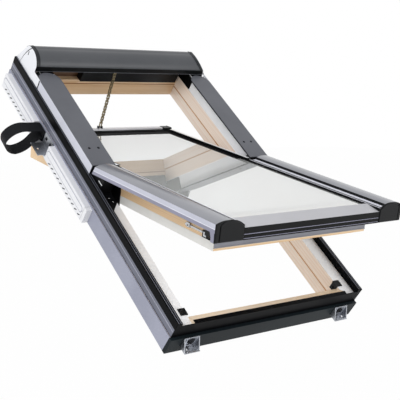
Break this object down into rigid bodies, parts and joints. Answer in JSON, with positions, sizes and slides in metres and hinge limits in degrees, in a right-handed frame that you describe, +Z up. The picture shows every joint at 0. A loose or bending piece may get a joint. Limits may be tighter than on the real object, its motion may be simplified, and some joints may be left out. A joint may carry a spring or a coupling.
{
  "type": "roof skylight",
  "caption": "Centre-pivot roof window with pine frame, metal covers, stepped double glazing and a chain drive, shown open on a pitched roof's slope.",
  "frame": {"origin": "middle of the sill's room face, in the plane where the frame meets the inside lining", "axes": "+X to the right across the window seen from outside, +Y level towards the ridge, +Z up; the frame slopes up along +Y at 40 degrees"},
  "size_m": [0.9166, 1.1566, 0.8963],
  "materials": {
    "pine_frame": "clear lacquered pine",
    "pine_sash": "clear lacquered pine",
    "black_rail": "satin black",
    "slate_board": "matt slate",
    "silver_board": "mill finish, lavender tint",
    "light_trim": "light grey coated",
    "cover_anthracite": "anthracite satin",
    "hood_end_silver": "silver satin",
    "foam": "closed cell foam",
    "foil": "ribbed foil",
    "webbing": "black webbing",
    "zinc": "zinc plated",
    "black_steel": "black",
    "black_plastic": "moulded",
    "drive_black": "moulded",
    "steel": "bright",
    "chain_steel": "oiled",
    "clear_glass": "coated clear glass",
    "spacer_metal": "matt",
    "gasket": "black rubber",
    "capping": "silver coated",
    "cap_black": "moulded",
    "bottom_cover": "anthracite satin"
  },
  "bodies": {
    "frame": {"jamb_left": "pine_frame", "jamb_right": "pine_frame", "head": "pine_frame", "sill": "pine_frame", "side_rail_left": "black_rail", "side_rail_right": "black_rail", "sill_rail": "black_rail", "head_flashing": "black_rail", "jamb_trim_left": "light_trim", "jamb_trim_right": "light_trim", "front_board": "slate_board", "side_board_left": "silver_board", "side_board_right": "silver_board", "upper_cover_left": "cover_anthracite", "upper_cover_right": "cover_anthracite", "hood": "cover_anthracite", "hood_end_left": "hood_end_silver", "hood_end_right": "hood_end_silver", "collar_left": "foam", "collar_right": "foam", "collar_foil_left": "foil", "collar_foil_right": "foil", "lifting_strap": "webbing", "side_bracket_left": "zinc", "side_bracket_right": "zinc", "sill_bracket_left": "zinc", "sill_bracket_right": "zinc", "bracket_screws": "black_steel", "hinge_housing_left": "black_steel", "hinge_housing_right": "black_steel", "catch_left": "black_plastic", "catch_right": "black_plastic", "drive_housing": "drive_black", "cover_screws": "steel"},
    "sash": {"stile_left": "pine_sash", "stile_right": "pine_sash", "top_rail": "pine_sash", "bottom_rail": "pine_sash", "outer_pane": "clear_glass", "inner_pane": "clear_glass", "pane_spacer": "spacer_metal", "glazing_gasket": "gasket", "capping_left": "capping", "capping_right": "capping", "capping_top": "capping", "side_cover_left": "cover_anthracite", "side_cover_right": "cover_anthracite", "bottom_cover": "bottom_cover", "end_cap_left": "cap_black", "end_cap_right": "cap_black", "hinge_plate_left": "black_steel", "hinge_plate_right": "black_steel", "stile_lining_left": "light_trim", "stile_lining_right": "light_trim", "lock_guides": "black_plastic", "chain_bracket": "steel"},
    "drive": {"drive_exit": "steel", "chain": "chain_steel"},
    "lock_right": {"lock_rod_right": "steel"},
    "lock_left": {"lock_rod_left": "steel"}
  },
  "joints": [
    {"name": "sash_pivot", "type": "hinge", "parent": "frame", "child": "sash", "pos_m": [0, 0.34068, 0.46209], "axis": [1, 0, 0], "range_deg": [0, 28]},
    {"name": "drive_swing", "type": "hinge", "parent": "frame", "child": "drive", "pos_m": [-0.025, 0.71105, 0.82788], "axis": [1, 0, 0], "range_deg": [0, 14], "deforming": ["chain"]},
    {"name": "lock_slide_right", "type": "slide", "parent": "sash", "child": "lock_right", "axis": [0, -0.9781, -0.2079], "range_m": [0, 0.016]},
    {"name": "lock_slide_left", "type": "slide", "parent": "sash", "child": "lock_left", "axis": [0, -0.9781, -0.2079], "range_m": [0, 0.016]}
  ],
  "couplings": [
    {"joint": "drive_swing", "follows": "sash_pivot", "ratio": 0.5},
    {"joint": "lock_slide_left", "follows": "lock_slide_right", "ratio": 1}
  ]
}
